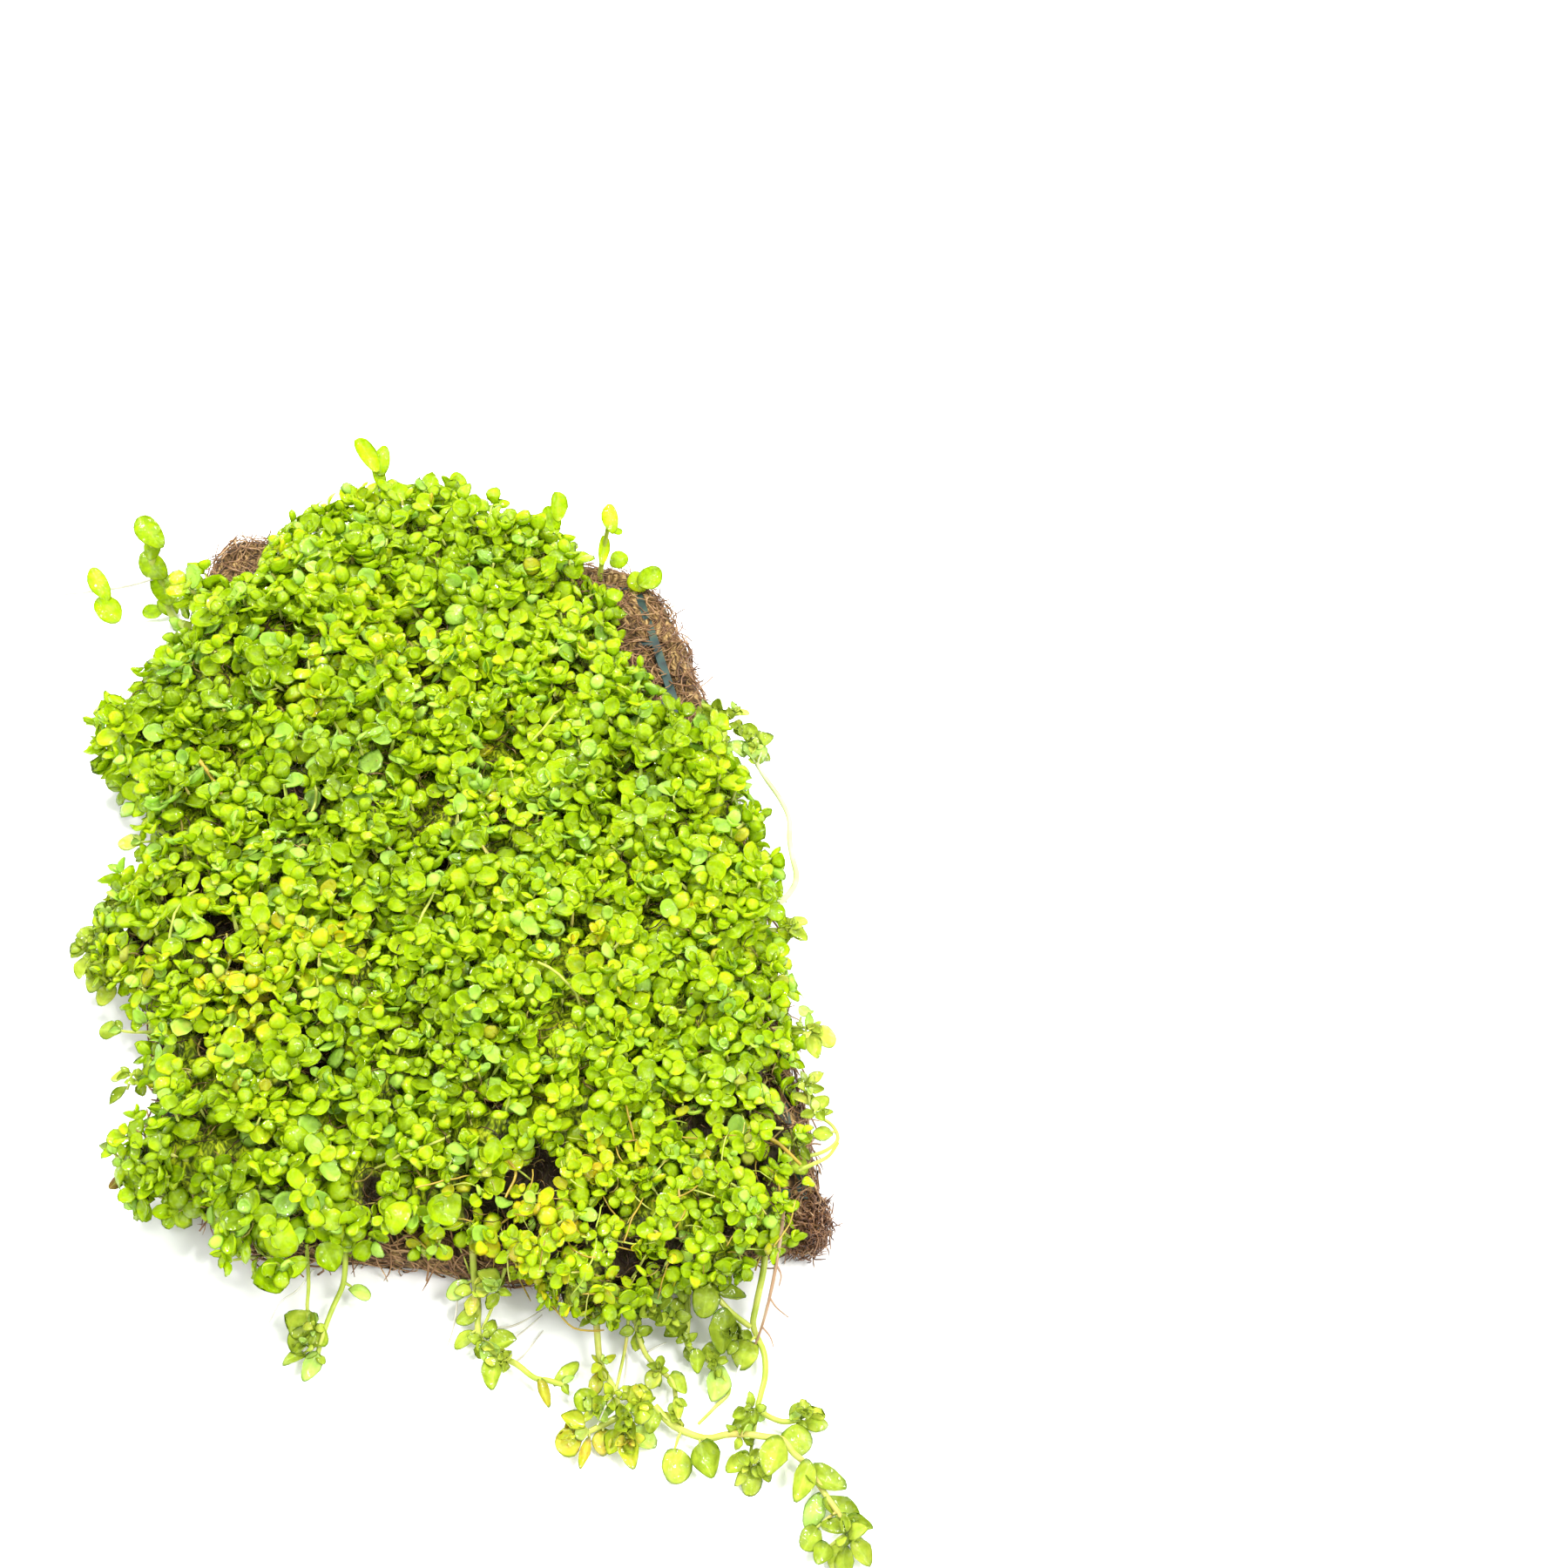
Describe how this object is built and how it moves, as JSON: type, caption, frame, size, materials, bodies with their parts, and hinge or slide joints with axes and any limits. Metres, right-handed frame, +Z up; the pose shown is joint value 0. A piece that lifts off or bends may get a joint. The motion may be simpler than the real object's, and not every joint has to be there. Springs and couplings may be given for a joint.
{
  "type": "carpet plant mat",
  "caption": "Flat mat of a low carpeting plant with small round leaves, grown on a slab of coconut fibre under a plastic net, with trailing runners at one edge.",
  "frame": {"origin": "on the flat underside of the fibre slab, near its middle", "axes": "+Z up out of the foliage, +Y along the mat away from the edge that the runners trail from, +X to the right"},
  "size_m": [0.1013, 0.1767, 0.0202],
  "materials": {
    "coir": "matte, damp",
    "net": "satin",
    "leaf": "glossy, wet",
    "shoot": "glossy, wet",
    "root": "satin, damp",
    "wilted": "matte, damp"
  },
  "bodies": {
    "root": {"coir_pad": "coir", "plastic_net": "net", "leaf_carpet": "leaf", "runner_tail": "shoot", "runner_long": "shoot", "runner_right": "shoot", "runner_middle": "shoot", "runner_left": "shoot", "runner_centre": "shoot", "shoot_front_left": "shoot", "shoot_far_tip": "shoot", "shoot_far_pair": "shoot", "shoot_far_left": "shoot", "shoot_far_right": "shoot", "shoot_far_stalk": "shoot", "shoot_far_corner": "shoot", "shoot_left_leaf": "shoot", "shoot_left_middle": "shoot", "shoot_left_stalk": "shoot", "shoot_left_lower": "shoot", "shoot_left_wilted": "wilted", "shoot_right_arc": "shoot", "shoot_right_tip": "shoot", "shoot_right_upper": "shoot", "shoot_right_pair": "shoot", "shoot_right_lower": "shoot", "root_thread_right": "root"}
  },
  "joints": []
}
